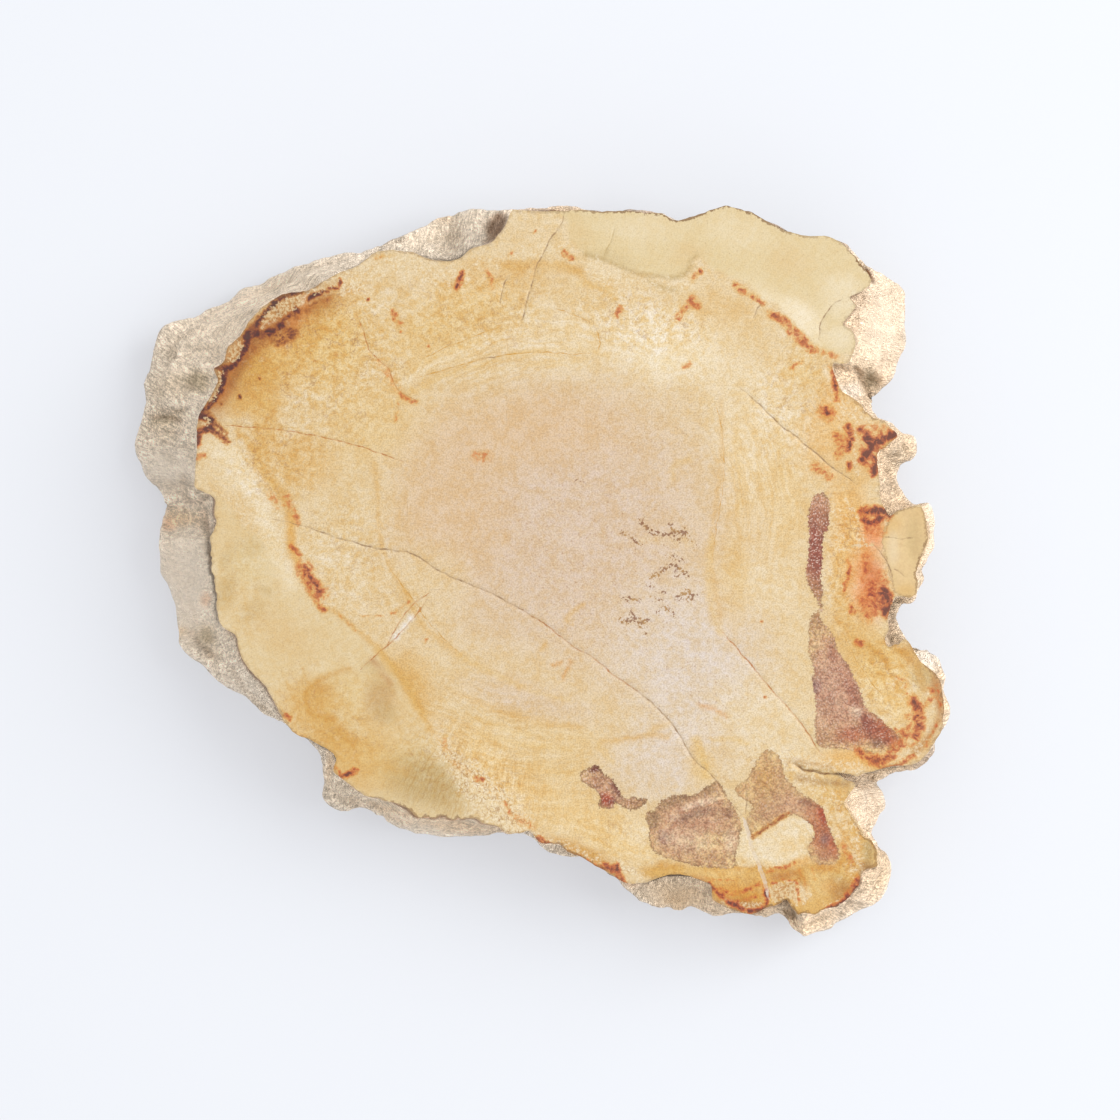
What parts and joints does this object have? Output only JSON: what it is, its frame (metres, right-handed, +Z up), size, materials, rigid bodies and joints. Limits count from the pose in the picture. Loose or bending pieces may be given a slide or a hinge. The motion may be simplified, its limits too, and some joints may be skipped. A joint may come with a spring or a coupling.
{
  "type": "petrified wood slice",
  "caption": "Cross-cut slice of petrified wood with a flat polished face, a rough natural rind round the edge and a sawn flat underside.",
  "frame": {"origin": "middle of the sawn underside, at the centre of the slice's bounding box", "axes": "+Z up through the thickness, out of the polished face; +X along the longest side, towards the ragged edge with the lobes; +Y across the slice"},
  "size_m": [0.0832, 0.0742, 0.012],
  "materials": {
    "petrified_wood": "top face polished with growth rings and rust, amber and purple-brown patches; rind rough and matte, cream to grey; underside sawn and matte"
  },
  "bodies": {
    "root": {"petrified_wood_slice": "petrified_wood"}
  },
  "joints": []
}
